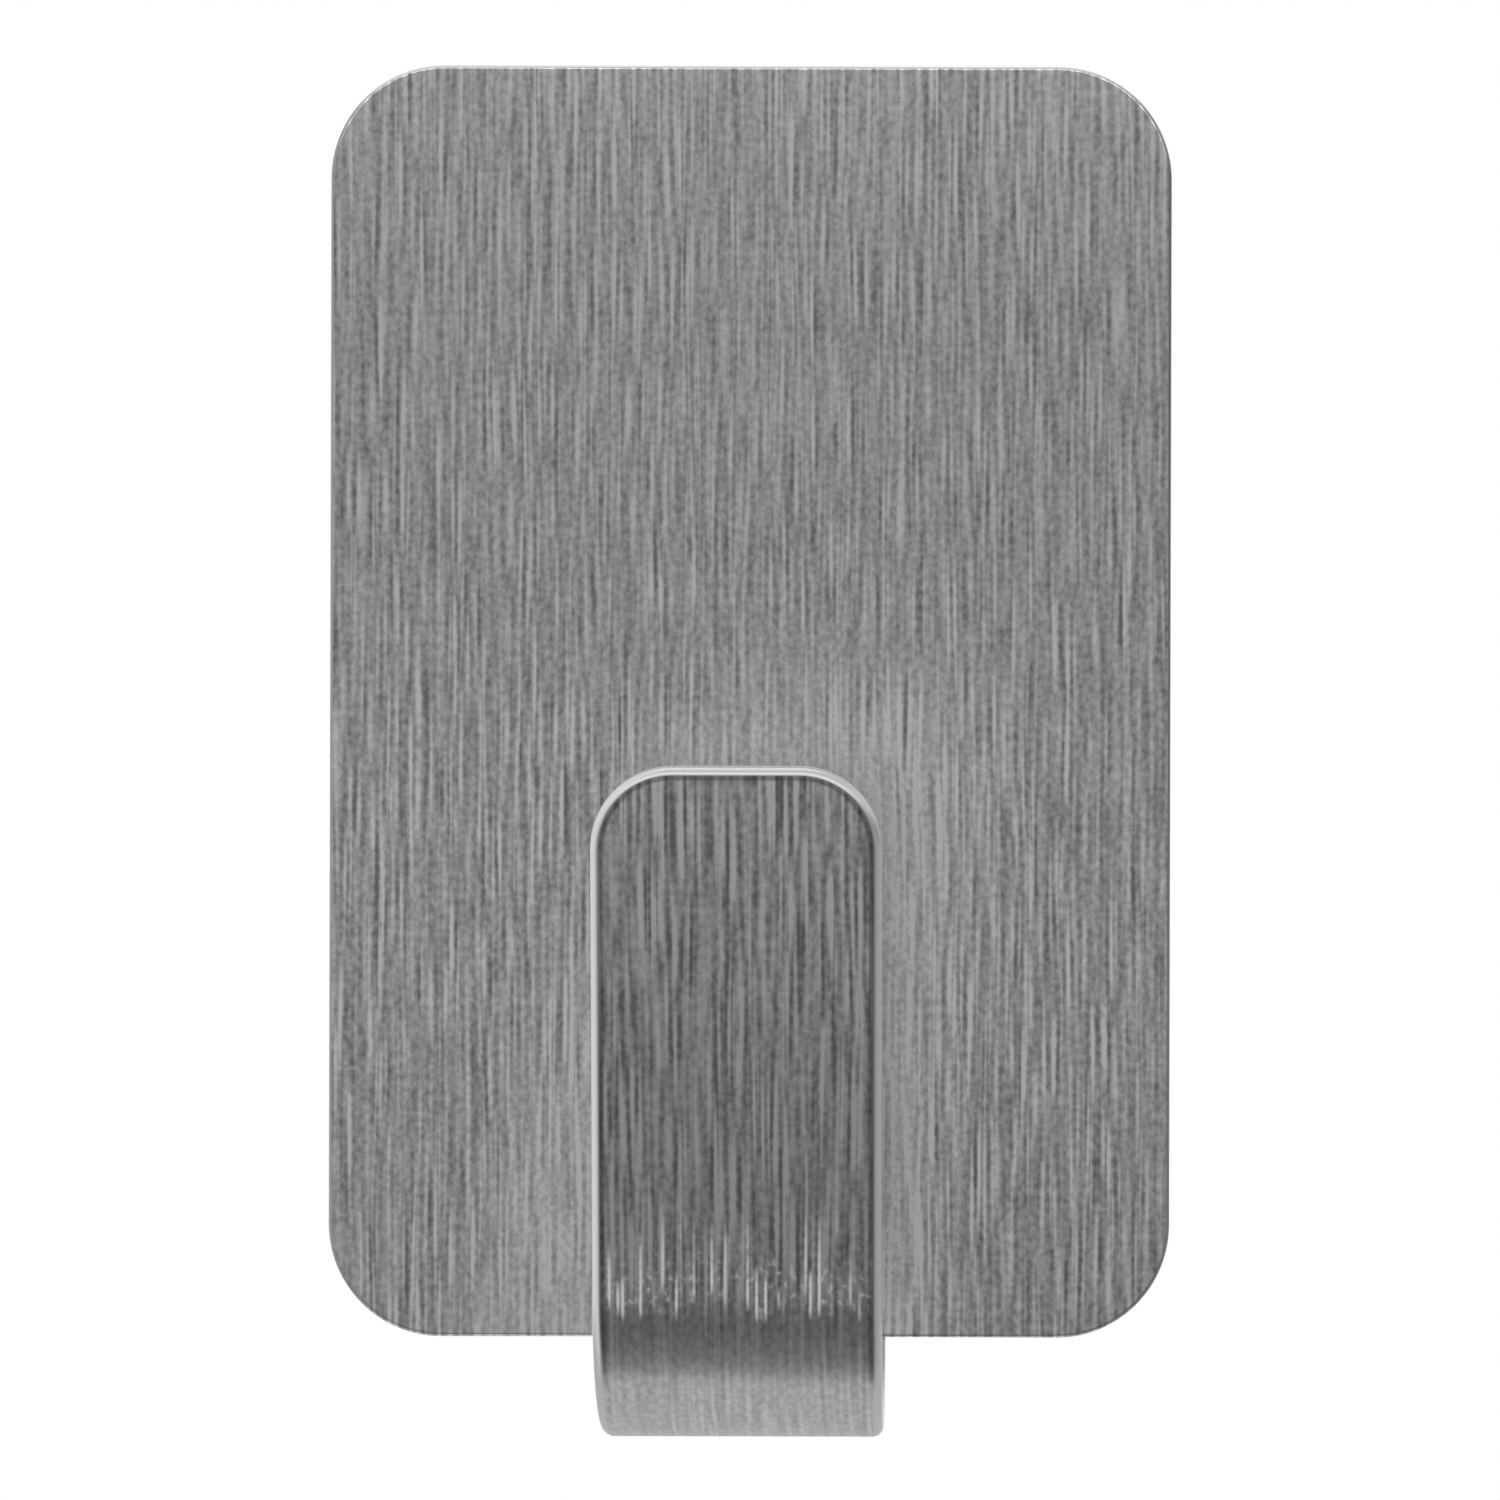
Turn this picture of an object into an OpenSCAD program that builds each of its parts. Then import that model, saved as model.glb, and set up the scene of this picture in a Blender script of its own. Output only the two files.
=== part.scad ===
// Self-adhesive wall hook: one blank of brushed stainless sheet, folded up into a J-shaped tongue,
// on a double-sided foam pad whose wall side is still covered by its release liner.
// The wall is the plane y = 0, the room lies towards -Y, +Z is up and x = 0 is the plane of symmetry.

/* [Plate] */
// Width of the plate
plate_w = 40; // [30:0.5:60]
// Height of the plate
plate_h = 60.5; // [50:0.5:90]
// Radius of the plate's corners
plate_corner_r = 5.4; // [3:0.1:10]
// Thickness of the steel sheet
sheet_t = 1.2; // [0.8:0.1:2]
// Rounding that deburring leaves along the plate's edges
plate_edge_r = 0.2; // [0.05:0.05:0.35]

/* [Hook] */
// Width of the strip that is folded up into the hook
strip_w = 13; // [9:0.5:18]
// Height of the tip above the lowest point of the fold
tip_rise = 31.3; // [22:0.1:45]
// Radius of the tip's corners
tip_corner_r = 3.7; // [1:0.1:4.4]
// Inside radius of the bend next to the plate
rear_bend_r = 2.8; // [1.5:0.1:5]
// Flat left between the two bends, at the lowest point of the fold
fold_flat = 0.8; // [0.4:0.1:6]
// Inside radius of the bend below the tongue
front_bend_r = 7; // [4:0.1:9]
// Outward lean of the tongue, in degrees
tongue_lean = 5; // [0:0.5:12]
// Rounding that deburring leaves along the strip's edges
strip_edge_r = 0.5; // [0.1:0.05:0.5]

/* [Pad] */
// How far the foam pad stays inside the plate's outline
pad_inset = 1; // [0.3:0.1:2.5]
// Thickness of the closed-cell foam
foam_t = 1; // [0.5:0.1:3]
// Thickness of each adhesive film
adhesive_t = 0.1; // [0.05:0.01:0.2]
// Thickness of the release liner's paper
liner_t = 0.1; // [0.06:0.01:0.2]
// How far the liner stands out past the foam, as a lip for a fingernail
liner_lip = 0.5; // [0.1:0.1:1]

/* [Hidden] */
$fn = 96;

// A rounding takes at most this share of the sheet's thickness on each face
edge_limit_share = 0.45;
plate_edge = min(plate_edge_r, sheet_t * edge_limit_share);
strip_edge = min(strip_edge_r, sheet_t * edge_limit_share);

// The layers, from the wall towards the room
wall_adhesive_y = -liner_t;
foam_y = wall_adhesive_y - adhesive_t;
plate_adhesive_y = foam_y - foam_t;
plate_back_y = plate_adhesive_y - adhesive_t;
plate_front_y = plate_back_y - sheet_t;

// The outlines of the pad and of the liner follow the plate's
pad_w = plate_w - 2 * pad_inset;
pad_h = plate_h - 2 * pad_inset;
pad_corner_r = plate_corner_r - pad_inset;
liner_w = pad_w + 2 * liner_lip;
liner_h = pad_h + 2 * liner_lip;
liner_corner_r = pad_corner_r + liner_lip;

// The fold: the rear bend starts at the plate's lower edge, and a short flat joins it to the front bend
plate_bottom_z = -plate_h / 2;
fold_low_z = plate_bottom_z - rear_bend_r - sheet_t;
rear_bend_y = plate_front_y - rear_bend_r;
front_bend_y = rear_bend_y - fold_flat;
front_bend_z = fold_low_z + front_bend_r + sheet_t;
// The front bend is drawn from both of its ends, square to the flat and to the tongue, and the two
// arcs lie over each other in the middle: each covers this share of the bend
front_arc_share = 0.7;
front_arc = (90 - tongue_lean) * front_arc_share;
// Straight length of the tongue, from the end of the front bend to the tip
tongue_len = (tip_rise - front_bend_r - sheet_t + front_bend_r * sin(tongue_lean)) / cos(tongue_lean);

// What lies on one side, and again on the other side of the plane across an axis
module mirrored(axis) {
    children();
    mirror(axis)
        children();
}

// Outline of a sheet with round corners, centred
module rounded_outline(w, h, r) {
    square([w - 2 * r, h], center = true);
    square([w, h - 2 * r], center = true);
    for (sx = [-1, 1], sy = [-1, 1])
        translate([sx * (w / 2 - r), sy * (h / 2 - r)])
            circle(r);
}

// Section through the rim of a sheet: it reaches along x, and both of its outer corners are rounded
module rim_section(reach, edge) {
    square([reach - edge, sheet_t]);
    translate([0, edge])
        square([reach, sheet_t - 2 * edge]);
    for (y = [edge, sheet_t - edge])
        translate([reach - edge, y])
            circle(edge);
}

// Straight length of rim, centred on the y axis and facing +X, with the sheet's thickness along z
module rim_bar(length, reach, edge) {
    translate([0, length / 2, 0])
        rotate([90, 0, 0])
            linear_extrude(length)
                rim_section(reach, edge);
}

// Quarter turn of rim round a corner, between +X and +Y
module rim_corner(r, edge) {
    rotate_extrude(angle = 90)
        rim_section(r, edge);
}

// Section across the folded strip: thickness along x from its inner face, width along y
module strip_section() {
    translate([sheet_t / 2, 0]) {
        square([sheet_t, strip_w - 2 * strip_edge], center = true);
        square([sheet_t - 2 * strip_edge, strip_w], center = true);
        for (sx = [-1, 1], sy = [-1, 1])
            translate([sx * (sheet_t / 2 - strip_edge), sy * (strip_w / 2 - strip_edge)])
                circle(strip_edge);
    }
}

// Stretch of the strip bent about the x axis: angle 0 points down, and 90 points towards +Y
module strip_bend(inner_r, from_angle, angle) {
    rotate([0, 90, 0])
        rotate_extrude(angle = angle, start = from_angle)
            translate([inner_r, 0])
                strip_section();
}

// The short flat between the bends, running towards -Y from the end of the rear bend
module strip_flat() {
    rotate([0, 90, 0])
        rotate([90, 0, 0])
            linear_extrude(fold_flat)
                translate([rear_bend_r, 0])
                    strip_section();
}

// The flat plate in its own plane, with its back at z = 0 and the strip's root left square below
module flat_plate() {
    r = plate_corner_r;
    root_gap = plate_w / 2 - r - strip_w / 2;
    translate([r - plate_w / 2, r - plate_h / 2, 0])
        cube([plate_w - 2 * r, plate_h - 2 * r, sheet_t]);
    mirrored([1, 0, 0])
        translate([plate_w / 2 - r, 0, 0])
            rim_bar(plate_h - 2 * r, r, plate_edge);
    translate([0, plate_h / 2 - r, 0])
        rotate([0, 0, 90])
            rim_bar(plate_w - 2 * r, r, plate_edge);
    mirrored([1, 0, 0])
        translate([(strip_w + root_gap) / 2, r - plate_h / 2, 0])
            rotate([0, 0, -90])
                rim_bar(root_gap, r, plate_edge);
    translate([-strip_w / 2, -plate_h / 2, 0])
        cube([strip_w, r, sheet_t]);
    mirrored([1, 0, 0])
        mirrored([0, 1, 0])
            translate([plate_w / 2 - r, plate_h / 2 - r, 0])
                rim_corner(r, plate_edge);
}

// The straight tongue with its round-cornered tip, rising along z from the end of the front bend
module tongue() {
    r = tip_corner_r;
    rotate([0, 0, -90])
        translate([front_bend_r, 0, 0])
            linear_extrude(tongue_len - r)
                strip_section();
    translate([0, -front_bend_r, tongue_len - r])
        rotate([90, 0, 0]) {
            rotate([0, 0, 90])
                rim_bar(strip_w - 2 * r, r, strip_edge);
            mirrored([1, 0, 0])
                translate([strip_w / 2 - r, 0, 0])
                    rim_corner(r, strip_edge);
        }
}

// One layer of the pad: an outline laid in the wall's plane, from its rear face towards the room
module layer(rear_y, thickness, w, h, r) {
    translate([0, rear_y, 0])
        rotate([90, 0, 0])
            linear_extrude(thickness)
                rounded_outline(w, h, r);
}

module hook_plate() {
    color("#8f9092") {
        translate([0, plate_back_y, 0])
            rotate([90, 0, 0])
                flat_plate();
        translate([0, rear_bend_y, plate_bottom_z]) {
            strip_bend(rear_bend_r, 0, 90);
            strip_flat();
        }
        translate([0, front_bend_y, front_bend_z]) {
            strip_bend(front_bend_r, -front_arc, front_arc);
            rotate([tongue_lean, 0, 0]) {
                strip_bend(front_bend_r, -90, front_arc);
                tongue();
            }
        }
    }
}

module plate_adhesive() {
    color("#e3e1d6")
        layer(plate_adhesive_y, adhesive_t, pad_w, pad_h, pad_corner_r);
}

module foam_pad() {
    color("#f1f1ee")
        layer(foam_y, foam_t, pad_w, pad_h, pad_corner_r);
}

module wall_adhesive() {
    color("#e3e1d6")
        layer(wall_adhesive_y, adhesive_t, pad_w, pad_h, pad_corner_r);
}

module release_liner() {
    color("#ece4cf")
        layer(0, liner_t, liner_w, liner_h, liner_corner_r);
}

hook_plate();
plate_adhesive();
foam_pad();
wall_adhesive();
release_liner();
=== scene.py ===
"""Self-adhesive wall hook: a folded blank of brushed stainless sheet on a foam mounting pad."""

import math

import bmesh
import bpy
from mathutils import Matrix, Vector


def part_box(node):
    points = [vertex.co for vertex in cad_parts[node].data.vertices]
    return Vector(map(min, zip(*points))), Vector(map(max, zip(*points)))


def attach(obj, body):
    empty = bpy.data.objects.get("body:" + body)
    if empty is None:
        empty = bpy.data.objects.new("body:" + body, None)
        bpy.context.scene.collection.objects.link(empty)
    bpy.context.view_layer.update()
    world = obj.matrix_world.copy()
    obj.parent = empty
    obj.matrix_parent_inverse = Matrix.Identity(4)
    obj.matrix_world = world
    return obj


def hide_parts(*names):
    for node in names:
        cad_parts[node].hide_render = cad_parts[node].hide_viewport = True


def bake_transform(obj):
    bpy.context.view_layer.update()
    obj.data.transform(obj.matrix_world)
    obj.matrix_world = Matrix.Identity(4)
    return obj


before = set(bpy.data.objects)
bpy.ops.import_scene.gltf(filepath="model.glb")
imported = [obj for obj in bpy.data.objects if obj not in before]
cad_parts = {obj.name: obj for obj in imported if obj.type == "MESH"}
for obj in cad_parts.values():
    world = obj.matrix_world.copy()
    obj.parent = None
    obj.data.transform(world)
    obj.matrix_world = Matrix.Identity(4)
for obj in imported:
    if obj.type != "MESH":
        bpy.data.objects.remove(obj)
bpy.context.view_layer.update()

MM = 0.001

# The blank: the sheet, its corners and the rounding left by deburring
SHEET = 1.2 * MM
PLATE_CORNER = 5.4 * MM
PLATE_EDGE = 0.2 * MM
STRIP_WIDTH = 13 * MM
STRIP_EDGE = 0.5 * MM
TIP_CORNER = 3.7 * MM

# The fold: inside radii of its two bends, the flat between them and the tongue's outward lean
REAR_BEND = 2.8 * MM
FOLD_FLAT = 0.8 * MM
FRONT_BEND = 7 * MM
TONGUE_LEAN = math.radians(5)
TIP_RISE = 31.3 * MM

# The pad's corners, and how far from its top edge the liner bends when it is peeled
PAD_CORNER = 4.4 * MM
LINER_CORNER = 4.9 * MM
LINER_FOLD = 4 * MM

# How finely round corners, round edges and bends are cut
TIP_STEPS = 24
PLATE_STEPS = 28
PAD_STEPS = 24
EDGE_STEPS = 8
REAR_STEPS = 18
FRONT_STEPS = 40
TONGUE_STEPS = 6
LINER_CUTS = 30
LINER_FOLD_STEPS = 24
SMOOTH_ANGLE = math.radians(40)

# How near a point lies to a face, or an edge to the strip, to count as on it
TOUCH = 0.01 * MM
NEARBY = 0.1 * MM

# The brushing: width and length in millimetres, and how strongly each layer shows. The single grooves of a
# belt are a few hundredths of a millimetre wide, too fine to show in the render, so they are drawn as
# coarser bundles
STROKES = ((0.34, 2.2, 0.36), (0.34, 4.5, 0.3), (0.38, 11, 0.22))
MOTTLE = ((0.28, 0.36, 0.78), (0.8, 1.3, 0.12), (6, 14, 0.04))
# Lines of single grits, drawn coarser too: pitch and length in millimetres, and how strongly they show
GRIT_LINES = ((0.52, 5, 0.75), (0.34, 7, 0.62))

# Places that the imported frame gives
hook_low, hook_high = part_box("hook_plate")
PLATE_BACK = hook_high.y
PLATE_FRONT = PLATE_BACK - SHEET
PLATE_TOP = hook_high.z
PLATE_BOTTOM = -PLATE_TOP
PLATE_WIDTH = hook_high.x - hook_low.x

# Lengths of the strip along the middle of the sheet, from the plate's lower edge to the tip
REAR_ARC = (REAR_BEND + SHEET / 2) * math.pi / 2
FRONT_ANGLE = math.pi / 2 - TONGUE_LEAN
FRONT_ARC = (FRONT_BEND + SHEET / 2) * FRONT_ANGLE
TONGUE_HEIGHT = TIP_RISE - FRONT_BEND - SHEET + FRONT_BEND * math.sin(TONGUE_LEAN)
TONGUE_LENGTH = TONGUE_HEIGHT / math.cos(TONGUE_LEAN)
FRONT_START = REAR_ARC + FOLD_FLAT
TONGUE_START = FRONT_START + FRONT_ARC
STRIP_LENGTH = TONGUE_START + TONGUE_LENGTH


def select_only(piece):
    """Leaves one object selected and active."""
    if bpy.context.mode != "OBJECT":
        bpy.ops.object.mode_set(mode="OBJECT")
    bpy.ops.object.select_all(action="DESELECT")
    piece.select_set(True)
    bpy.context.view_layer.objects.active = piece


def sheet_start(name, width, height, front):
    """A flat sheet facing the room, centred on the plate, as the start of a piece."""
    bpy.ops.object.select_all(action="DESELECT")
    bpy.ops.mesh.primitive_plane_add(size=1, location=(0, front, 0), rotation=(math.pi / 2, 0, 0))
    piece = bpy.context.object
    piece.name = piece.data.name = name
    piece.scale = (width, height, 1)
    bpy.ops.object.transform_apply(location=True, rotation=True, scale=True)
    return piece


def select_where(piece, kind, test):
    """In edit mode, selects the vertices, edges or faces that pass a test on their middle."""
    bpy.ops.mesh.select_mode(type=kind)
    bpy.ops.mesh.select_all(action="DESELECT")
    work = bmesh.from_edit_mesh(piece.data)
    items = {"VERT": work.verts, "EDGE": work.edges, "FACE": work.faces}[kind]
    for item in items:
        if kind == "VERT":
            middle = item.co
        else:
            middle = sum((v.co for v in item.verts), Vector()) / len(item.verts)
        item.select_set(test(middle))
    work.select_flush_mode()
    bmesh.update_edit_mesh(piece.data)


def round_corners(piece, radius, segments, test):
    """Rounds the corners of a flat sheet that pass a test."""
    select_where(piece, "VERT", test)
    bpy.ops.mesh.bevel(offset=radius, segments=segments, affect="VERTICES", profile=0.5)


def cut_across(point, normal):
    """In edit mode, cuts the whole piece along a plane, leaving it in one part."""
    bpy.ops.mesh.select_all(action="SELECT")
    bpy.ops.mesh.bisect(plane_co=point, plane_no=normal)


def thicken(thickness):
    """In edit mode, pulls a flat sheet back from the room into a closed solid."""
    bpy.ops.mesh.select_mode(type="FACE")
    bpy.ops.mesh.select_all(action="SELECT")
    bpy.ops.mesh.extrude_region_move(TRANSFORM_OT_translate={"value": (0, thickness, 0)})
    bpy.ops.mesh.select_all(action="SELECT")
    bpy.ops.mesh.normals_make_consistent(inside=False)


def apply_modifier(piece, kind, **settings):
    """Adds a modifier with its settings and applies it."""
    modifier = piece.modifiers.new(kind.title(), kind)
    for name, value in settings.items():
        setattr(modifier, name, value)
    bpy.ops.object.modifier_apply(modifier=modifier.name)


def folded(flat):
    """Where a point of the flat blank comes to lie once the strip is bent up into the hook."""
    run = PLATE_BOTTOM - flat.z
    if run <= 0:
        return flat
    depth = flat.y - PLATE_FRONT
    rear_y = PLATE_FRONT - REAR_BEND
    front_y = rear_y - FOLD_FLAT
    front_z = PLATE_BOTTOM - REAR_BEND + FRONT_BEND
    if run < REAR_ARC:
        turn = run / (REAR_BEND + SHEET / 2)
        radius = REAR_BEND + depth
        return Vector((flat.x, rear_y + radius * math.cos(turn), PLATE_BOTTOM - radius * math.sin(turn)))
    if run < FRONT_START:
        return Vector((flat.x, rear_y - (run - REAR_ARC), PLATE_BOTTOM - REAR_BEND - depth))
    turn = min((run - FRONT_START) / (FRONT_BEND + SHEET / 2), FRONT_ANGLE)
    rest = max(run - TONGUE_START, 0)
    radius = FRONT_BEND + depth
    y = front_y - radius * math.sin(turn) - rest * math.cos(turn)
    z = front_z - radius * math.cos(turn) + rest * math.sin(turn)
    return Vector((flat.x, y, z))


def cut_blank():
    """The flat blank: the plate with the strip below it, and every corner rounded."""
    blank = sheet_start("folded_hook", PLATE_WIDTH, PLATE_TOP - PLATE_BOTTOM, PLATE_FRONT)
    half_strip = STRIP_WIDTH / 2
    bpy.ops.object.mode_set(mode="EDIT")
    for side in (-1, 1):
        cut_across((side * half_strip, 0, 0), (1, 0, 0))
    select_where(blank, "EDGE", lambda p: abs(p.x) < MM and p.z < PLATE_BOTTOM + MM)
    bpy.ops.mesh.extrude_region_move(TRANSFORM_OT_translate={"value": (0, 0, -STRIP_LENGTH)})
    strip_end = PLATE_BOTTOM - STRIP_LENGTH
    round_corners(blank, TIP_CORNER, TIP_STEPS, lambda p: p.z < strip_end + MM)
    round_corners(blank, PLATE_CORNER, PLATE_STEPS, lambda p: abs(p.x) > half_strip + MM)
    thicken(SHEET)
    bpy.ops.object.mode_set(mode="OBJECT")
    return blank


def deburr(blank):
    """Rounds the blank's edges, more on the strip that hands and cloth touch than on the plate."""
    work = bmesh.new()
    work.from_mesh(blank.data)
    weight = work.edges.layers.float.new("bevel_weight_edge")
    for edge in work.edges:
        flat_faces = [abs(face.normal.y) > 0.5 for face in edge.link_faces]
        if sum(flat_faces) == 1:
            on_strip = max(v.co.z for v in edge.verts) < PLATE_BOTTOM + NEARBY and all(
                abs(v.co.x) < STRIP_WIDTH / 2 + NEARBY for v in edge.verts
            )
            edge[weight] = 1 if on_strip else PLATE_EDGE / STRIP_EDGE
    work.to_mesh(blank.data)
    work.free()
    select_only(blank)
    apply_modifier(blank, "BEVEL", width=STRIP_EDGE, segments=EDGE_STEPS, limit_method="WEIGHT")


def cut_for_bending(blank):
    """Cuts the strip across wherever it bends, so that the bends come out round."""
    straight = TONGUE_LENGTH - TIP_CORNER
    cuts = [REAR_ARC * step / REAR_STEPS for step in range(1, REAR_STEPS + 1)]
    cuts += [FRONT_START + FRONT_ARC * step / FRONT_STEPS for step in range(FRONT_STEPS + 1)]
    cuts += [TONGUE_START + straight * step / TONGUE_STEPS for step in range(1, TONGUE_STEPS + 1)]
    select_only(blank)
    bpy.ops.object.mode_set(mode="EDIT")
    for run in cuts:
        cut_across((0, 0, PLATE_BOTTOM - run), (0, 0, 1))
    bpy.ops.object.mode_set(mode="OBJECT")


def unroll_map(blank):
    """Keeps the flat blank's own metres as its UV map, so that the brushing runs along the sheet."""
    mesh = blank.data
    layer = mesh.uv_layers.new(name="sheet")
    for face in mesh.polygons:
        for loop in face.loop_indices:
            point = mesh.vertices[mesh.loops[loop].vertex_index].co
            across, along = point.x, point.z
            depth = point.y - PLATE_FRONT
            if abs(face.normal.y) < 0.5 and abs(face.normal.x) > abs(face.normal.z):
                across += math.copysign(depth, face.normal.x)
            elif abs(face.normal.y) < 0.5:
                along += math.copysign(depth, face.normal.z)
            layer.data[loop].uv = (across, along)


def mark_rims(blank):
    """Marks the edges for the steel's finish: tumbled round the strip, sheared down the plate's sides, and
    the tumbled colour along the plate's top edge as a painted highlight.

    The brushing belt rolls over the plate's top and bottom edges, so they are never left as sheared.
    """
    fade = 0.4 * PLATE_CORNER
    tumbled_and_top_highlight = blank.data.attributes.new("tumbled_and_top_highlight_rim", "FLOAT", "POINT")
    sheared = blank.data.attributes.new("sheared_rim", "FLOAT", "POINT")
    for vertex in blank.data.vertices:
        depth = vertex.co.y - PLATE_FRONT
        if min(depth, SHEET - depth) < TOUCH:
            continue
        if vertex.co.z < PLATE_BOTTOM - TOUCH:
            tumbled_and_top_highlight.data[vertex.index].value = 1
        else:
            # Along the plate's top edge the tumbled mark is a painted highlight, where light falls from
            # above
            below_top = min((PLATE_TOP - vertex.co.z) / fade, 1)
            above_bottom = min((vertex.co.z - PLATE_BOTTOM) / fade, 1)
            tumbled_and_top_highlight.data[vertex.index].value = 1 - below_top
            sheared.data[vertex.index].value = below_top * above_bottom


def make_hook(finish):
    """Blanks, deburrs and folds the sheet, as the real hook is made."""
    hook = cut_blank()
    deburr(hook)
    cut_for_bending(hook)
    unroll_map(hook)
    mark_rims(hook)
    for vertex in hook.data.vertices:
        vertex.co = folded(vertex.co)
    select_only(hook)
    bpy.ops.object.shade_smooth()
    apply_modifier(hook, "WEIGHTED_NORMAL", mode="FACE_AREA", weight=100)
    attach(hook, "hook")
    dress(hook, "hook_plate", finish)


def pad_outline(name, node, corner):
    """One layer of the pad, cut to its CAD node's size with round corners, in edit mode."""
    low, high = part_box(node)
    layer = sheet_start(name, high.x - low.x, high.z - low.z, low.y)
    bpy.ops.object.mode_set(mode="EDIT")
    round_corners(layer, corner, PAD_STEPS, lambda p: True)
    thicken(high.y - low.y)
    return layer, low, high


def dress(piece, node, finish):
    """Hides the CAD node that a finished piece replaces, and gives the piece its material."""
    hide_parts(node)
    piece.data.materials.clear()
    piece.data.materials.append(finish)


def make_foam(finish):
    """The foam core: the cutting die squeezes it, so that its sides spring back a little hollow."""
    foam, low, high = pad_outline("foam_core", "foam_pad", PAD_CORNER)
    hollow = 0.1 * MM
    on_cut = 0.001 * MM
    for share in (0.08, 0.25, 0.5, 0.75, 0.92):
        y = low.y + share * (high.y - low.y)
        cut_across((0, y, 0), (0, 1, 0))
        pull = hollow * math.sin(math.pi * share)
        select_where(foam, "VERT", lambda p: abs(p.y - y) < on_cut)
        bpy.ops.transform.resize(
            value=(1 - pull / high.x, 1, 1 - pull / high.z), center_override=(0, y, 0)
        )
    select_only(foam)
    bpy.ops.object.shade_smooth_by_angle(angle=SMOOTH_ANGLE)
    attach(foam, "hook")
    dress(foam, "foam_pad", finish)


def make_film(name, node, finish):
    """One adhesive film of the double-sided tape, its cut edge drawn round by its own tack."""
    drawn_round = 0.03 * MM
    film = pad_outline(name, node, PAD_CORNER)[0]
    select_only(film)
    apply_modifier(film, "BEVEL", width=drawn_round, segments=3, limit_method="ANGLE")
    bpy.ops.object.shade_smooth_by_angle(angle=SMOOTH_ANGLE)
    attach(film, "hook")
    dress(film, node, finish)


def make_liner(finish):
    """The release liner: one sheet of paper, cut across near its top edge so that it can curl there."""
    liner, low, high = pad_outline("release_paper", "release_liner", LINER_CORNER)
    for step in range(1, LINER_CUTS + 1):
        cut_across((0, 0, high.z - LINER_FOLD * step / LINER_FOLD_STEPS), (0, 0, 1))
    select_only(liner)
    bpy.ops.object.shade_smooth_by_angle(angle=SMOOTH_ANGLE)
    layer = liner.data.uv_layers.new(name="paper")
    for loop in liner.data.loops:
        point = liner.data.vertices[loop.vertex_index].co
        layer.data[loop.index].uv = (point.x, point.z)
    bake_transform(liner)
    dress(liner, "release_liner", finish)


def linear(hex_colour):
    """An sRGB hex colour as linear RGBA."""
    parts = [int(hex_colour[i : i + 2], 16) / 255 for i in (1, 3, 5)]
    return [p / 12.92 if p <= 0.04045 else ((p + 0.055) / 1.055) ** 2.4 for p in parts] + [1]


def add(tree, kind, inputs=(), **settings):
    """Adds a node with its settings, and fills its inputs with values or links."""
    made = tree.nodes.new(kind)
    for name, value in settings.items():
        setattr(made, name, value)
    for key, value in dict(inputs).items():
        if isinstance(value, bpy.types.NodeSocket):
            tree.links.new(value, made.inputs[key])
        else:
            made.inputs[key].default_value = value
    return made


def new_material(name):
    """An empty node material and its tree."""
    material = bpy.data.materials.new(name)
    material.use_nodes = True
    material.node_tree.nodes.clear()
    return material, material.node_tree


def soft_zone(tree, limits, gain):
    """A gain that holds only inside a zone: each limit fades it in from one value of a place to another."""
    zone = gain
    for place, outside, inside in limits:
        edge = add(
            tree,
            "ShaderNodeMapRange",
            {"Value": place, "From Min": outside, "From Max": inside},
            interpolation_type="SMOOTHSTEP",
        )
        zone = add(
            tree, "ShaderNodeMath", {0: edge.outputs["Result"], 1: zone}, operation="MULTIPLY"
        ).outputs[0]
    return zone


def layered_noise(tree, uv, layers, detail):
    """Layers of noise on the flat sheet, added up about zero, each moved to a place of its own."""
    shift_across, shift_along = 170, 31
    total = -sum(gain for width, length, gain in layers) / 2
    for width, length, gain in layers:
        placed = add(
            tree,
            "ShaderNodeMapping",
            {
                "Vector": uv,
                "Location": (shift_across * width, shift_along * length, 0),
                "Scale": (1 / (width * MM), 1 / (length * MM), 1),
            },
        )
        noise = add(
            tree,
            "ShaderNodeTexNoise",
            {"Vector": placed.outputs["Vector"], "Scale": 1, "Detail": detail, "Roughness": 0.5},
            noise_dimensions="2D",
        )
        total = add(
            tree,
            "ShaderNodeMath",
            {0: noise.outputs["Fac"], 1: gain, 2: total},
            operation="MULTIPLY_ADD",
        ).outputs[0]
    return total


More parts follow.
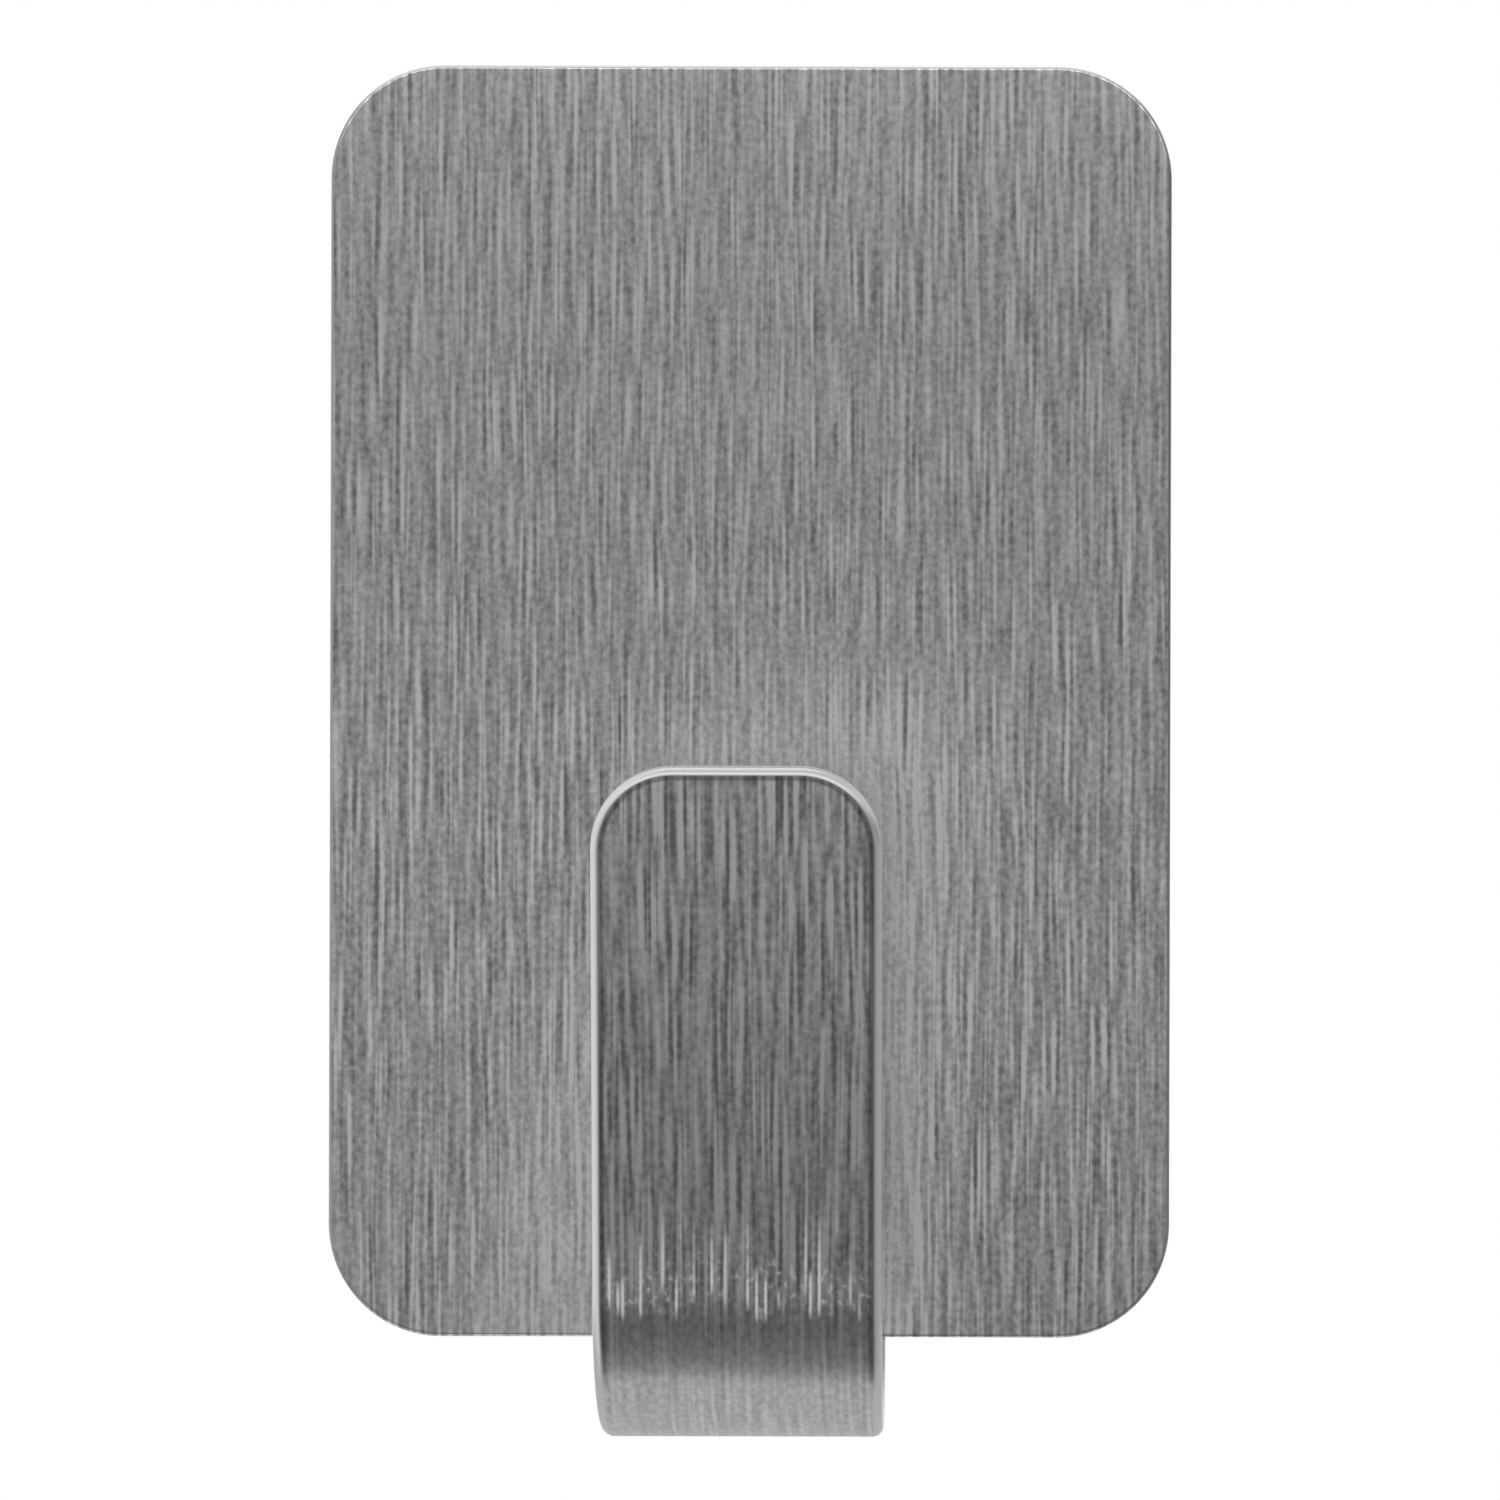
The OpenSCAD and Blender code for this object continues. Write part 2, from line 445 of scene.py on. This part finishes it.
def grit_lines(tree, pair, along, length):
    """Straight lines in pairs, a bright ridge beside a dark cut, which start and end by chance.

    Gives how strong the line is at a place, its section from -1 in the cut to 1 on the ridge, and one
    number by chance for the whole pair.
    """
    # Neighbouring pairs lie up to this many lengths apart, so that their lines don't end side by side
    spread = 977
    own = add(tree, "ShaderNodeMath", {0: pair}, operation="FLOOR").outputs[0]
    chance = add(tree, "ShaderNodeTexWhiteNoise", {"W": own}, noise_dimensions="1D").outputs["Value"]
    far_apart = add(tree, "ShaderNodeMath", {0: chance, 1: spread}, operation="MULTIPLY").outputs[0]
    place = add(
        tree, "ShaderNodeMath", {0: along, 1: 1 / length, 2: far_apart}, operation="MULTIPLY_ADD"
    ).outputs[0]

    # Each stretch of a pair has a strength by chance, and fades out at both of its ends
    stretch = add(tree, "ShaderNodeMath", {0: place}, operation="FLOOR").outputs[0]
    both = add(tree, "ShaderNodeCombineXYZ", {"X": own, "Y": stretch}).outputs["Vector"]
    luck = add(tree, "ShaderNodeTexWhiteNoise", {"Vector": both}, noise_dimensions="2D").outputs
    within = add(tree, "ShaderNodeMath", {0: place}, operation="FRACT").outputs[0]
    within = add(tree, "ShaderNodeMath", {0: within, 1: math.pi}, operation="MULTIPLY").outputs[0]
    ends = add(tree, "ShaderNodeMath", {0: within}, operation="SINE").outputs[0]
    strength = add(tree, "ShaderNodeMath", {0: luck["Value"], 1: ends}, operation="MULTIPLY").outputs[0]

    # The ridge lies on the left or the right of its cut, by chance too
    side = add(tree, "ShaderNodeSeparateColor", {"Color": luck["Color"]}).outputs["Green"]
    side = add(tree, "ShaderNodeMath", {0: side}, operation="ROUND").outputs[0]
    wave = add(tree, "ShaderNodeMath", {0: side, 1: 0.5, 2: pair}, operation="MULTIPLY_ADD").outputs[0]
    wave = add(tree, "ShaderNodeMath", {0: wave, 1: 2 * math.pi}, operation="MULTIPLY").outputs[0]
    section = add(tree, "ShaderNodeMath", {0: wave}, operation="SINE").outputs[0]
    return strength, section, chance


def fine_lines(tree, uv, across, along):
    """Lines where single grits cut clean, which wander a little across the sheet."""
    drift_width, drift_length = 1.3 * MM, 14 * MM
    cut_depth = 0.45
    drift = add(
        tree, "ShaderNodeMapping", {"Vector": uv, "Scale": (1 / drift_width, 1 / drift_length, 1)}
    ).outputs["Vector"]
    drift = add(
        tree, "ShaderNodeTexNoise", {"Vector": drift, "Scale": 1, "Detail": 1}, noise_dimensions="2D"
    ).outputs["Fac"]
    total = 0
    for pitch, length, gain in GRIT_LINES:
        pair = add(
            tree, "ShaderNodeMath", {0: across, 1: 1 / (pitch * MM), 2: drift}, operation="MULTIPLY_ADD"
        ).outputs[0]
        strength, section = grit_lines(tree, pair, along, length * MM)[:2]
        cut = add(tree, "ShaderNodeMath", {0: section, 1: cut_depth}, operation="MULTIPLY").outputs[0]
        section = add(tree, "ShaderNodeMath", {0: section, 1: cut}, operation="MAXIMUM").outputs[0]
        line = add(tree, "ShaderNodeMath", {0: strength, 1: section}, operation="MULTIPLY").outputs[0]
        total = add(
            tree, "ShaderNodeMath", {0: line, 1: gain, 2: total}, operation="MULTIPLY_ADD"
        ).outputs[0]
    return total


def pressed_contrast(tree, run):
    """How strongly strokes, fine lines and mottle show along the strip, as red, green and blue.

    They are pressed flat on the bend and crisp on the tongue, and stand at half scale, because a ramp
    ends at 1.
    """
    share = add(
        tree, "ShaderNodeMath", {0: run, 1: 1 / STRIP_LENGTH}, operation="MULTIPLY", use_clamp=True
    ).outputs[0]
    contrast = add(tree, "ShaderNodeValToRGB", {"Fac": share})
    ramp = contrast.color_ramp.elements
    on_plate = (0.57, 0.39, 0.5, 1)
    on_tongue = (0.86, 0.6, 0.5, 1)
    ramp[0].position, ramp[0].color = 0, on_plate
    ramp[1].position, ramp[1].color = 1, on_tongue
    for place, shown in (
        (FRONT_START, (0.2, 0.1, 0.22, 1)),
        (TONGUE_START - 4 * MM, (0.22, 0.14, 0.3, 1)),
        (TONGUE_START - 1 * MM, (0.33, 0.35, 0.45, 1)),
        (TONGUE_START + 0.5 * MM, on_tongue),
    ):
        ramp.new(place / STRIP_LENGTH).color = shown
    return add(tree, "ShaderNodeSeparateColor", {"Color": contrast.outputs["Color"]}).outputs


def brushed_tone(tree, uv, across, along, run, mottle):
    """The tone that the belt has left: dark grooves towards 0 and bright ridges towards 1."""
    even_tone = 0.438
    strokes = layered_noise(tree, uv, STROKES, detail=0.5)
    lines = fine_lines(tree, uv, across, along)
    shown = pressed_contrast(tree, run)
    tone = even_tone
    for layer, half in ((strokes, shown["Red"]), (lines, shown["Green"]), (mottle, shown["Blue"])):
        whole = add(tree, "ShaderNodeMath", {0: half, 1: 2}, operation="MULTIPLY").outputs[0]
        tone = add(
            tree, "ShaderNodeMath", {0: layer, 1: whole, 2: tone}, operation="MULTIPLY_ADD"
        ).outputs[0]
    return tone


def painted_light_beside_tongue(tree, tone, across, along, run):
    """Brightens the tone beside the tongue with painted light, lifting the shade that the tongue throws on
    the plate.

    It is a leaning band over the lower plate beside the tongue, widening to the lower left and brightest
    along the tongue's right side.
    """
    left_lean, right_lean = 0.35, 0.09
    left_side = add(
        tree, "ShaderNodeMath", {0: along, 1: -left_lean, 2: across}, operation="MULTIPLY_ADD"
    ).outputs[0]
    right_side = add(
        tree, "ShaderNodeMath", {0: along, 1: -right_lean, 2: across}, operation="MULTIPLY_ADD"
    ).outputs[0]
    on_plate = (run, 0.2 * MM, 0)
    band = (
        (left_side, -6.2 * MM, -0.6 * MM),
        (right_side, 14.2 * MM, 7.6 * MM),
        (along, 5 * MM, -5 * MM),
        on_plate,
    )
    brightest = (
        (left_side, -0.6 * MM, 8 * MM),
        (across, 9.6 * MM, 6.9 * MM),
        (along, 2 * MM, -8 * MM),
        on_plate,
    )
    # Both zones lift the tone as painted light
    for limits, gain in ((band, 0.29), (brightest, 0.1)):
        painted_light = soft_zone(tree, limits, gain)
        tone = add(tree, "ShaderNodeMath", {0: tone, 1: painted_light}, operation="ADD").outputs[0]
    return tone


def handling_scratches(tree, tone, uv):
    """Brightens the tone along a few scratches of handling, which cross the brushing."""
    # Width and length in millimetres, angle to the brushing in degrees, and how strongly they show
    scratches = ((0.13, 6, 84, 0.12), (0.13, 7, -70, 0.1))
    shift_across, shift_along = 13.1, 61.7
    faint, clear = 0.79, 0.83
    for seed, (width, length, angle, gain) in enumerate(scratches):
        turned = add(tree, "ShaderNodeMapping", {"Vector": uv, "Rotation": (0, 0, math.radians(angle))})
        placed = add(
            tree,
            "ShaderNodeMapping",
            {
                "Vector": turned.outputs["Vector"],
                "Location": (shift_across * seed, shift_along, 0),
                "Scale": (1 / (width * MM), 1 / (length * MM), 1),
            },
        )
        noise = add(
            tree,
            "ShaderNodeTexNoise",
            {"Vector": placed.outputs["Vector"], "Scale": 1, "Detail": 1},
            noise_dimensions="2D",
        )
        line = soft_zone(tree, ((noise.outputs["Fac"], faint, clear),), gain)
        tone = add(tree, "ShaderNodeMath", {0: tone, 1: line}, operation="ADD").outputs[0]
    return tone


def bending_scuffs_and_highlight(tree, across, along, run, mottle):
    """Where the bending tool has scuffed the foot of the tongue, and where a painted highlight is laid
    there.

    It has torn lines open down to ragged ends, and dabbed the mottle between them.
    """
    pitch, length, raggedness = 0.4 * MM, 9 * MM, 0.7 * MM
    tears = add(tree, "ShaderNodeMath", {0: across, 1: 1 / pitch}, operation="MULTIPLY").outputs[0]
    strength, section, chance = grit_lines(tree, tears, along, length)
    ridge = add(tree, "ShaderNodeMath", {0: section, 1: 0}, operation="MAXIMUM").outputs[0]
    below_tears = (run, TONGUE_START + 4.6 * MM, TONGUE_START + 0.4 * MM)
    torn = soft_zone(tree, ((strength, 0.1, 0.4), below_tears), ridge)
    below_dabs = (run, TONGUE_START + 2.6 * MM, TONGUE_START + 0.8 * MM)
    dabbed = soft_zone(tree, ((mottle, 0.02, 0.35), below_dabs), 0.6)
    scuff_and_highlight = add(tree, "ShaderNodeMath", {0: torn, 1: dabbed}, operation="MAXIMUM").outputs[0]
    ragged = add(
        tree, "ShaderNodeMath", {0: chance, 1: raggedness, 2: run}, operation="MULTIPLY_ADD"
    ).outputs[0]
    return soft_zone(tree, ((ragged, TONGUE_START - 0.7 * MM, TONGUE_START + 0.1 * MM),), scuff_and_highlight)


def tumbled_and_top_highlight_edge(tree, run):
    """Where tumbling has rounded the edges: on the strip, from the very start of the rounding; and the
    plate's top edge, painted as a highlight.
    """
    start = 0.35
    tumbled_and_top_highlight = add(tree, "ShaderNodeAttribute", attribute_name="tumbled_and_top_highlight_rim").outputs["Fac"]
    on_strip = add(tree, "ShaderNodeMath", {0: run, 1: 0}, operation="GREATER_THAN").outputs[0]
    steep = add(
        tree, "ShaderNodeMapRange", {"Value": tumbled_and_top_highlight, "From Max": start, "To Max": on_strip}
    ).outputs["Result"]
    return add(tree, "ShaderNodeMath", {0: tumbled_and_top_highlight, 1: steep}, operation="MAXIMUM").outputs[0]


def painted_dark_line(tree, across, run):
    """A dark line of painted shade round the tongue, just inside its bright edge, where the rounding
    begins.
    """
    darkness = 0.55
    beside = add(tree, "ShaderNodeMath", {0: across}, operation="ABSOLUTE").outputs[0]
    spot = add(tree, "ShaderNodeCombineXYZ", {"X": beside, "Y": run}).outputs["Vector"]
    corner_centre = (STRIP_WIDTH / 2 - TIP_CORNER, STRIP_LENGTH - TIP_CORNER, 0)
    spot = add(tree, "ShaderNodeVectorMath", {0: spot, 1: corner_centre}, operation="SUBTRACT").outputs[0]
    spot = add(tree, "ShaderNodeVectorMath", {0: spot, 1: (0, 0, 0)}, operation="MAXIMUM").outputs[0]
    reach = add(tree, "ShaderNodeVectorMath", {0: spot}, operation="LENGTH").outputs["Value"]
    inset = add(tree, "ShaderNodeMath", {0: TIP_CORNER, 1: reach}, operation="SUBTRACT").outputs[0]
    # Painted shade: a thin line between these insets from the tongue's rim, fading out towards the bend
    limits = (
        (inset, 0.68 * MM, 0.52 * MM),
        (inset, 0.28 * MM, 0.41 * MM),
        (run, TONGUE_START - 5 * MM, TONGUE_START - 3 * MM),
    )
    return soft_zone(tree, limits, darkness)


def steel_colour(tree, tone, tumbled_and_top_highlight, across, run):
    """Groove and ridge colours of the brushing, with the two kinds of edge, a painted highlight along the
    plate's top edge and a dark line of painted shade over them.
    """
    sheared = add(tree, "ShaderNodeAttribute", attribute_name="sheared_rim").outputs["Fac"]
    painted_dark_line_share = painted_dark_line(tree, across, run)
    colour = linear("#908e8f")
    # The tumbled colour also gives the plate's top edge a painted highlight; the dark line is painted shade
    for share, over in ((tone, "#fffcfd"), (sheared, "#9c9b9b"), (tumbled_and_top_highlight, "#dad9d9"), (painted_dark_line_share, "#3a3939")):
        colour = add(
            tree, "ShaderNodeMix", {0: share, 6: colour, 7: linear(over)}, data_type="RGBA"
        ).outputs[2]
    return colour


def brushed_stainless():
    """Stainless steel sheet, brushed along its length by an abrasive belt and then folded.

    To the eye it is a mid grey of fine light and dark strokes that run up the sheet. They spread every
    reflection across the sheet and keep it sharp along it. The bending tool has scuffed the foot of the
    tongue and pressed the strokes flat on the bend, and the scuffs carry a painted highlight. Tumbling has
    left the strip's edges bright and smooth, and the plate's sheared edges are duller. The plate's top edge
    has a painted highlight in the tumbled colour, a band beside the tongue is lightened with painted light,
    and a dark line of painted shade runs just inside the tongue's bright edge.
    """
    scuff_and_highlight_gain = 0.75
    material, tree = new_material("brushed_stainless_sheet")
    uv = add(tree, "ShaderNodeUVMap", uv_map="sheet").outputs["UV"]
    flat = add(tree, "ShaderNodeSeparateXYZ", {"Vector": uv}).outputs
    across, along = flat["X"], flat["Y"]
    run = add(tree, "ShaderNodeMath", {0: PLATE_BOTTOM, 1: along}, operation="SUBTRACT").outputs[0]

    mottle = layered_noise(tree, uv, MOTTLE, detail=1.5)
    tone = brushed_tone(tree, uv, across, along, run, mottle)
    # Painted light: a lighter band beside the tongue
    tone = painted_light_beside_tongue(tree, tone, across, along, run)
    tone = handling_scratches(tree, tone, uv)
    scuff_and_highlight = bending_scuffs_and_highlight(tree, across, along, run, mottle)
    # The scuffs lift the tone towards white: scuff marks, and far past bare steel a painted highlight at
    # the foot of the tongue
    tone = add(
        tree, "ShaderNodeMath", {0: scuff_and_highlight, 1: scuff_and_highlight_gain, 2: tone}, operation="MULTIPLY_ADD", use_clamp=True
    ).outputs[0]
    tumbled_and_top_highlight = tumbled_and_top_highlight_edge(tree, run)
    colour = steel_colour(tree, tone, tumbled_and_top_highlight, across, run)

    # Ridges are smoother than grooves, scuffs scatter the most, and tumbled edges are even all over
    rough = add(
        tree, "ShaderNodeMapRange", {"Value": tone, "To Min": 0.34, "To Max": 0.26}
    ).outputs["Result"]
    for share, over in ((scuff_and_highlight, 0.95), (tumbled_and_top_highlight, 0.36)):
        rough = add(
            tree, "ShaderNodeMix", {0: share, 2: rough, 3: over}, data_type="FLOAT"
        ).outputs[0]
    relief = add(tree, "ShaderNodeBump", {"Strength": 0.5, "Distance": 0.002 * MM, "Height": tone})
    tangent = add(tree, "ShaderNodeTangent", direction_type="UV_MAP", uv_map="sheet")
    steel = add(
        tree,
        "ShaderNodeBsdfPrincipled",
        {
            "Base Color": colour,
            "Metallic": 1,
            "Roughness": rough,
            "Anisotropic": 0.6,
            "Tangent": tangent.outputs["Tangent"],
            "Normal": relief.outputs["Normal"],
        },
    )
    add(tree, "ShaderNodeOutputMaterial", {"Surface": steel.outputs["BSDF"]})
    return material


def closed_cell_foam():
    """White closed-cell polyethylene foam, cut by a die.

    To the eye it is a matt, soft white, with small round cells that the cut has opened into pits.
    """
    material, tree = new_material("closed_cell_polyethylene")
    place = add(tree, "ShaderNodeTexCoord").outputs["Object"]
    cells = add(
        tree,
        "ShaderNodeTexVoronoi",
        {"Vector": place, "Scale": 1 / (0.22 * MM), "Randomness": 1},
        feature="F1",
    ).outputs["Distance"]
    cloud = add(
        tree, "ShaderNodeTexNoise", {"Vector": place, "Scale": 1 / (2.5 * MM), "Detail": 2}
    ).outputs["Fac"]
    # Painted shade: the colour darkens towards the bottom of each pit, over a random cloud of tone
    pit = add(
        tree, "ShaderNodeMapRange", {"Value": cells, "From Min": 0.1, "From Max": 0.6}
    ).outputs["Result"]
    shade = add(
        tree, "ShaderNodeMath", {0: cloud, 1: 0.25, 2: pit}, operation="MULTIPLY_ADD", use_clamp=True
    ).outputs[0]
    colour = add(
        tree,
        "ShaderNodeMix",
        {0: shade, 6: linear("#d9d9d5"), 7: linear("#f1f1ee")},
        data_type="RGBA",
    ).outputs[2]
    relief = add(tree, "ShaderNodeBump", {"Strength": 0.6, "Distance": 0.06 * MM, "Height": pit})
    foam = add(
        tree,
        "ShaderNodeBsdfPrincipled",
        {"Base Color": colour, "Roughness": 0.85, "IOR": 1.5, "Normal": relief.outputs["Normal"]},
    )
    add(tree, "ShaderNodeOutputMaterial", {"Surface": foam.outputs["BSDF"]})
    return material


def acrylic_adhesive():
    """Pressure-sensitive acrylic adhesive, coated as a film.

    To the eye it is a pale cream gel with a wet gloss, and faint ripples where the coater ran.
    """
    material, tree = new_material("acrylic_tape_adhesive")
    place = add(tree, "ShaderNodeTexCoord").outputs["Object"]
    drawn = add(
        tree,
        "ShaderNodeMapping",
        {"Vector": place, "Scale": (1 / (1.6 * MM), 1 / (1.6 * MM), 1 / (7 * MM))},
    )
    ripple = add(
        tree, "ShaderNodeTexNoise", {"Vector": drawn.outputs["Vector"], "Scale": 1, "Detail": 3}
    ).outputs["Fac"]
    colour = add(
        tree,
        "ShaderNodeMix",
        {0: ripple, 6: linear("#dcd8c8"), 7: linear("#ebe8dc")},
        data_type="RGBA",
    ).outputs[2]
    gloss = add(
        tree, "ShaderNodeMapRange", {"Value": ripple, "To Min": 0.14, "To Max": 0.3}
    ).outputs["Result"]
    relief = add(tree, "ShaderNodeBump", {"Strength": 0.4, "Distance": 0.03 * MM, "Height": ripple})
    film = add(
        tree,
        "ShaderNodeBsdfPrincipled",
        {"Base Color": colour, "Roughness": gloss, "IOR": 1.47, "Normal": relief.outputs["Normal"]},
    )
    add(tree, "ShaderNodeOutputMaterial", {"Surface": film.outputs["BSDF"]})
    return material


def siliconised_paper():
    """Glassine paper, calendered and coated with silicone on the side that lies on the adhesive.

    To the eye it is a thin, even, honey-pale sheet with a low sheen and a faint cloud of fibres.
    """
    material, tree = new_material("siliconised_glassine")
    uv = add(tree, "ShaderNodeUVMap", uv_map="paper").outputs["UV"]
    cloud = add(
        tree,
        "ShaderNodeTexNoise",
        {"Vector": uv, "Scale": 1 / (1.4 * MM), "Detail": 4, "Roughness": 0.6},
        noise_dimensions="2D",
    ).outputs["Fac"]
    drawn = add(
        tree,
        "ShaderNodeMapping",
        {"Vector": uv, "Rotation": (0, 0, 0.3), "Scale": (1 / (0.12 * MM), 1 / (1.1 * MM), 1)},
    )
    fibre = add(
        tree,
        "ShaderNodeTexNoise",
        {"Vector": drawn.outputs["Vector"], "Scale": 1, "Detail": 2, "Distortion": 1.2},
        noise_dimensions="2D",
    ).outputs["Fac"]
    mixed = add(
        tree, "ShaderNodeMix", {0: 0.4, 2: cloud, 3: fibre}, data_type="FLOAT"
    ).outputs[0]
    spread = add(
        tree, "ShaderNodeMapRange", {"Value": mixed, "From Min": 0.3, "From Max": 0.7}
    ).outputs["Result"]
    colour = add(
        tree,
        "ShaderNodeMix",
        {0: spread, 6: linear("#e2d6bb"), 7: linear("#f0e8d4")},
        data_type="RGBA",
    ).outputs[2]
    sheen = add(
        tree, "ShaderNodeMapRange", {"Value": cloud, "To Min": 0.36, "To Max": 0.52}
    ).outputs["Result"]
    relief = add(tree, "ShaderNodeBump", {"Strength": 0.3, "Distance": 0.01 * MM, "Height": mixed})
    paper = add(
        tree,
        "ShaderNodeBsdfPrincipled",
        {"Base Color": colour, "Roughness": sheen, "IOR": 1.45, "Normal": relief.outputs["Normal"]},
    )
    add(tree, "ShaderNodeOutputMaterial", {"Surface": paper.outputs["BSDF"]})
    return material


def studio_world():
    """White for the camera and behind and beside the hook, with a grey room on the camera's side.

    Apart from a grey card, all rays meet the same white behind and beside the hook, so the steel shows
    the camera's background.
    """
    room_turn = math.radians(-35)
    world = bpy.data.worlds.new("studio")
    bpy.context.scene.world = world
    world.use_nodes = True
    tree = world.node_tree
    tree.nodes.clear()
    way = add(tree, "ShaderNodeTexCoord").outputs["Generated"]
    parts = add(tree, "ShaderNodeSeparateXYZ", {"Vector": way}).outputs
    height = add(
        tree, "ShaderNodeMapRange", {"Value": parts["Z"], "From Min": -1, "From Max": 1}
    ).outputs["Result"]
    room = add(tree, "ShaderNodeValToRGB", {"Fac": height})
    stops = room.color_ramp.elements
    stops[0].position, stops[0].color = 0, (0.2, 0.2, 0.2, 1)
    stops[1].position, stops[1].color = 1, (0.6, 0.6, 0.6, 1)
    # How far a way points up, from -1 to 1, and how light the room is there
    for z, value in (
        (-0.6, 0.115),
        (-0.3, 0.17),
        (-0.2, 0.256),
        (-0.13, 0.42),
        (0, 0.455),
        (0.12, 0.225),
        (0.25, 0.38),
        (0.4, 0.75),
        (0.7, 0.7),
    ):
        stops.new((z + 1) / 2).color = (value, value, value, 1)
    turned = add(tree, "ShaderNodeMapping", {"Vector": way, "Rotation": (0, 0, room_turn)})
    ahead = add(tree, "ShaderNodeSeparateXYZ", {"Vector": turned.outputs["Vector"]}).outputs["Y"]
    front = soft_zone(tree, ((ahead, -0.02, -0.25),), 1)
    around = add(
        tree,
        "ShaderNodeMix",
        {0: front, 6: (1, 1, 1, 1), 7: room.outputs["Color"]},
        data_type="RGBA",
    ).outputs[2]
    # A grey card stands low on the right, darkest at its near edge
    grey = add(
        tree,
        "ShaderNodeMapRange",
        {"Value": parts["X"], "From Min": 0.5, "From Max": 0.75, "To Min": 0.2, "To Max": 0.5},
    )
    card = soft_zone(tree, ((parts["X"], 0, 0.45), (parts["Y"], 0.8, 0.5), (parts["Z"], 0.12, -0.12)), 1)
    around = add(
        tree, "ShaderNodeMix", {0: card, 6: around, 7: grey.outputs["Result"]}, data_type="RGBA"
    ).outputs[2]
    seen = add(tree, "ShaderNodeLightPath").outputs["Is Camera Ray"]
    colour = add(
        tree, "ShaderNodeMix", {0: seen, 6: around, 7: (1, 1, 1, 1)}, data_type="RGBA"
    ).outputs[2]
    sky = add(tree, "ShaderNodeBackground", {"Color": colour, "Strength": 1})
    add(tree, "ShaderNodeOutputWorld", {"Surface": sky.outputs["Background"]})


def soft_box(name, width, height, place, brightness):
    """A soft box that faces the hook; brightness is what a mirror would show of it, with white as 1."""
    data = bpy.data.lights.new(name, "AREA")
    data.shape = "RECTANGLE"
    data.size, data.size_y = width, height
    data.energy = brightness * math.pi * width * height
    lamp = bpy.data.objects.new(name, data)
    bpy.context.scene.collection.objects.link(lamp)
    lamp.location = place
    lamp.rotation_euler = (-Vector(place)).to_track_quat("-Z", "Y").to_euler()
    lamp.visible_camera = False


def studio_floor():
    """A plain pale floor under and behind the hook, which the camera sees as white as the background.

    The lift to white is added to its own shading, so it keeps the hook's shadow.
    """
    width, depth = 2, 1.065
    middle, level = 0.4675, -0.35
    lift_to_white = 0.6
    bpy.ops.object.select_all(action="DESELECT")
    bpy.ops.mesh.primitive_plane_add(size=1, location=(0, middle, level))
    floor = bpy.context.object
    floor.name = floor.data.name = "studio_floor"
    floor.scale = (width, depth, 1)
    bpy.ops.object.transform_apply(location=True, rotation=True, scale=True)
    material, tree = new_material("studio_floor")
    seen = add(tree, "ShaderNodeLightPath").outputs["Is Camera Ray"]
    lift = add(tree, "ShaderNodeMath", {0: seen, 1: lift_to_white}, operation="MULTIPLY").outputs[0]
    pale = add(
        tree,
        "ShaderNodeBsdfPrincipled",
        {
            "Base Color": linear("#d2d2d2"),
            "Roughness": 0.9,
            "Emission Color": (1, 1, 1, 1),
            "Emission Strength": lift,
        },
    )
    add(tree, "ShaderNodeOutputMaterial", {"Surface": pale.outputs["BSDF"]})
    floor.data.materials.append(material)


def photo_camera():
    """A camera square to the plate and a little to its right, framed as the photograph is."""
    distance = 200 * MM
    side, height = 9.2 * MM, -2.28 * MM
    tilt = math.radians(-0.15)
    photo_pixels, pixels_per_mm = 1500, 21.03
    frame_width = photo_pixels / pixels_per_mm * MM
    data = bpy.data.cameras.new("photo_camera")
    data.sensor_width = 36
    data.lens = data.sensor_width * distance / frame_width
    data.shift_x = -side / frame_width
    camera = bpy.data.objects.new("photo_camera", data)
    bpy.context.scene.collection.objects.link(camera)
    camera.location = (side, PLATE_FRONT - distance, height)
    camera.rotation_euler = (math.pi / 2, tilt, 0)
    bpy.context.scene.camera = camera


make_hook(brushed_stainless())
adhesive = acrylic_adhesive()
make_film("plate_side_film", "plate_adhesive", adhesive)
make_foam(closed_cell_foam())
make_film("wall_side_film", "wall_adhesive", adhesive)
make_liner(siliconised_paper())

studio_world()
soft_box("front_box", width=0.6, height=0.22, place=(0, -0.43, 0.26), brightness=0.7)
soft_box("top_box", width=0.4, height=0.3, place=(0, 0.06, 0.5), brightness=0.2)
studio_floor()
photo_camera()
bpy.context.scene.view_settings.view_transform = "Standard"
